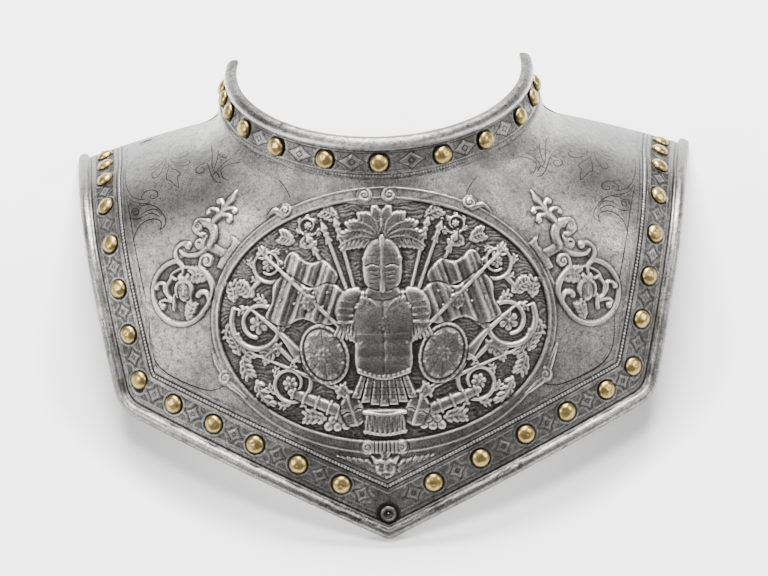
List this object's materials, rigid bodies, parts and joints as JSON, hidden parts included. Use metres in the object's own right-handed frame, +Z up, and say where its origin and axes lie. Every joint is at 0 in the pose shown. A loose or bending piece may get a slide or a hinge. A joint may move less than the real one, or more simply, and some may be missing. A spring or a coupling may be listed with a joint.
{
  "type": "gorget front plate",
  "caption": "Front plate of a steel gorget: a half collar raised from a pointed breast plate, with turned edges and domed brass rivets along its borders.",
  "frame": {"origin": "middle of the footprint, on the floor that the plate lies on", "axes": "+X to the wearer's left, +Y from the lower point back towards the collar, +Z up; the plate lies on its lower point and its two shoulder ends"},
  "size_m": [0.3, 0.216, 0.1178],
  "materials": {
    "polished_steel": "polished forged steel, matted in the recessed ground, a little pitted",
    "brass": "domed and worn, dirt round the heads"
  },
  "bodies": {
    "root": {"gorget_plate": "polished_steel", "collar_rivet_01": "brass", "collar_rivet_02": "brass", "collar_rivet_03": "brass", "collar_rivet_04": "brass", "collar_rivet_05": "brass", "collar_rivet_06": "brass", "collar_rivet_07": "brass", "collar_rivet_08": "brass", "collar_rivet_09": "brass", "collar_rivet_10": "brass", "collar_rivet_11": "brass", "collar_rivet_12": "brass", "left_border_rivet_01": "brass", "left_border_rivet_02": "brass", "left_border_rivet_03": "brass", "left_border_rivet_04": "brass", "left_border_rivet_05": "brass", "left_border_rivet_06": "brass", "left_border_rivet_07": "brass", "left_border_rivet_08": "brass", "left_border_rivet_09": "brass", "left_border_rivet_10": "brass", "left_border_rivet_11": "brass", "left_border_rivet_12": "brass", "left_border_rivet_13": "brass", "right_border_rivet_01": "brass", "right_border_rivet_02": "brass", "right_border_rivet_03": "brass", "right_border_rivet_04": "brass", "right_border_rivet_05": "brass", "right_border_rivet_06": "brass", "right_border_rivet_07": "brass", "right_border_rivet_08": "brass", "right_border_rivet_09": "brass", "right_border_rivet_10": "brass", "right_border_rivet_11": "brass", "right_border_rivet_12": "brass", "right_border_rivet_13": "brass"}
  },
  "joints": []
}
